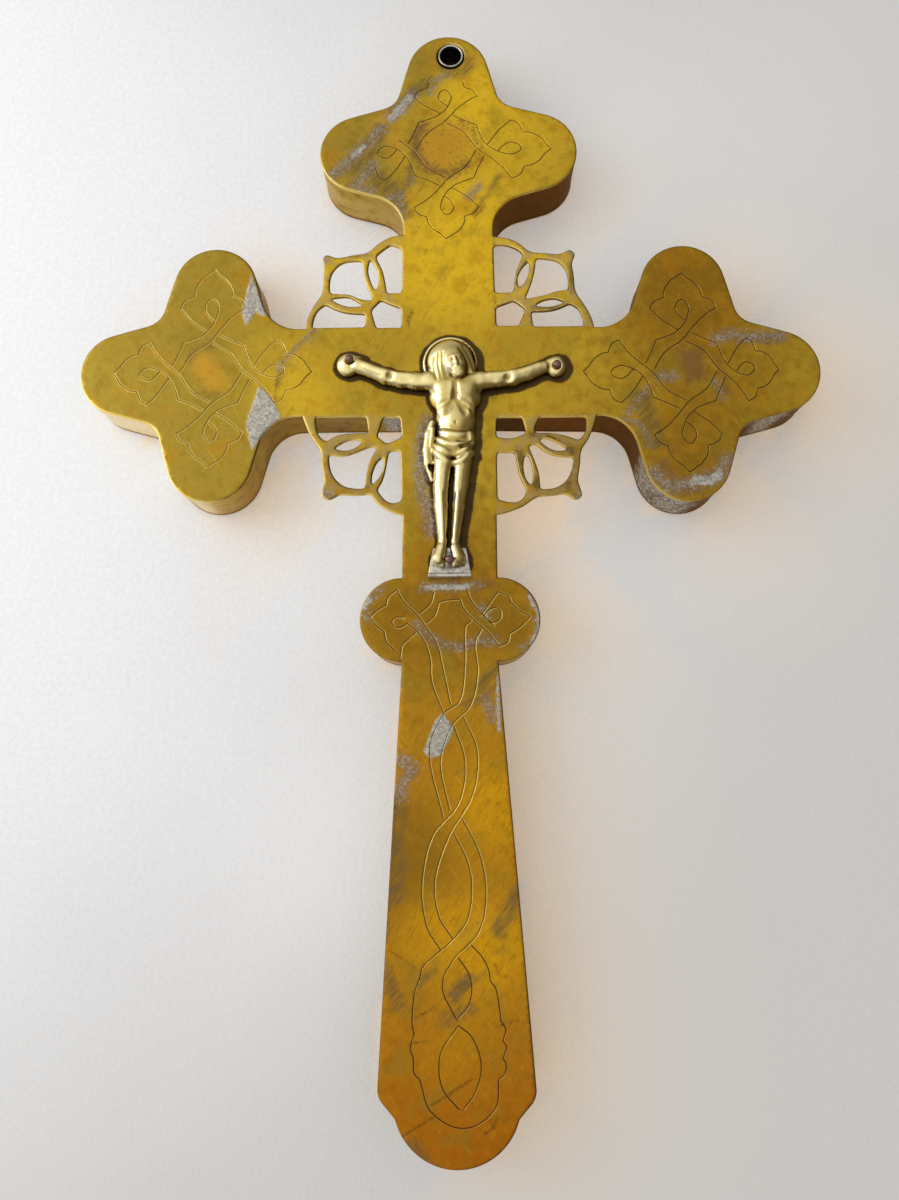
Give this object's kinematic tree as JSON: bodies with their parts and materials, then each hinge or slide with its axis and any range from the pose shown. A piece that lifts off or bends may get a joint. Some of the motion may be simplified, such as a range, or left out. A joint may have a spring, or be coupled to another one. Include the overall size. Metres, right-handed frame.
{
  "type": "hand cross",
  "caption": "Hollow brass hand cross with trefoil ends, pierced ring corners, a flared handle, a cast figure and a hanging tube; held in the hand, laid flat or hung.",
  "frame": {"origin": "middle of the crossing on the back plate's outer face", "axes": "+Y up the cross to the hanging hole, +X to the right seen from the front, +Z out of the front"},
  "size_m": [0.2329, 0.3496, 0.025],
  "materials": {
    "sheet_brass": "worn polished sheet with engraving, scratches and grey solder stains",
    "edge_brass": "dull brown-toned edge strip",
    "cast_brass": "rubbed casting with dark hollows",
    "tinned_metal": "silvery tinned brass"
  },
  "bodies": {
    "root": {"front_plate": "sheet_brass", "back_plate": "sheet_brass", "top_arm_wall": "edge_brass", "left_arm_wall": "edge_brass", "right_arm_wall": "edge_brass", "left_shaft_wall": "edge_brass", "right_shaft_wall": "edge_brass", "handle_wall": "edge_brass", "corpus": "cast_brass", "footrest": "tinned_metal", "left_hand_nail": "tinned_metal", "right_hand_nail": "tinned_metal", "feet_nail": "tinned_metal", "hanging_tube": "tinned_metal"}
  },
  "joints": []
}
